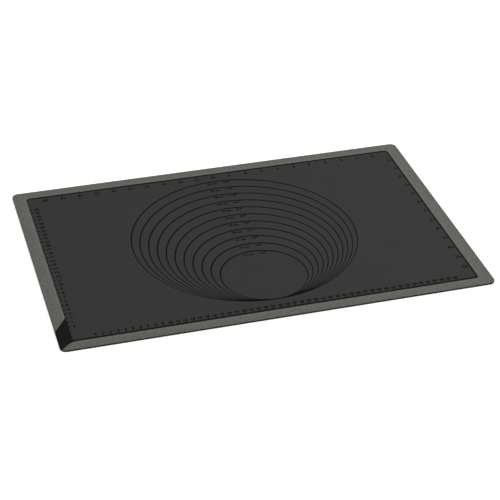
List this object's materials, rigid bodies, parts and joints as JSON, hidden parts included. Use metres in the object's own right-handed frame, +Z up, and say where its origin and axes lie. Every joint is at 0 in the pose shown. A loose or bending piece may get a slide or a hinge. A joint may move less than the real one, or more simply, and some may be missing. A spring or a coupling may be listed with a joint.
{
  "type": "silicone baking mat",
  "caption": "Flat rectangular silicone pastry mat with a raised border band, guide circles, rulers on all sides and a pouring corner.",
  "frame": {"origin": "middle of the mat's underside, on the surface that it lies on", "axes": "+X along the long side, towards the right side with the inch ruler; +Y from the near side to the far side; +Z up out of the work surface"},
  "size_m": [0.6, 0.4, 0.0028],
  "materials": {
    "black_silicone": "matte moulded silicone",
    "charcoal_silicone": "smooth matte silicone",
    "grey_silicone": "fine-grained matte silicone",
    "black_print": "matte silicone ink",
    "glass_fibre": "plain woven"
  },
  "bodies": {
    "root": {"lower_skin": "black_silicone", "upper_skin": "black_silicone", "pouring_corner": "black_silicone", "glass_fibre_mesh": "glass_fibre", "work_panel": "charcoal_silicone", "border_band": "grey_silicone", "guide_circle_01": "black_print", "guide_circle_02": "black_print", "guide_circle_03": "black_print", "guide_circle_04": "black_print", "guide_circle_05": "black_print", "guide_circle_06": "black_print", "guide_circle_07": "black_print", "guide_circle_08": "black_print", "guide_circle_09": "black_print", "guide_circle_10": "black_print", "guide_circle_11": "black_print", "near_cm_ticks": "black_print", "near_cm_numerals": "black_print", "left_cm_ticks": "black_print", "left_cm_numerals": "black_print", "far_inch_ticks": "black_print", "far_inch_numerals": "black_print", "right_inch_ticks": "black_print", "right_inch_numerals": "black_print", "circle_labels_cm": "black_print", "circle_labels_inch": "black_print"}
  },
  "joints": []
}
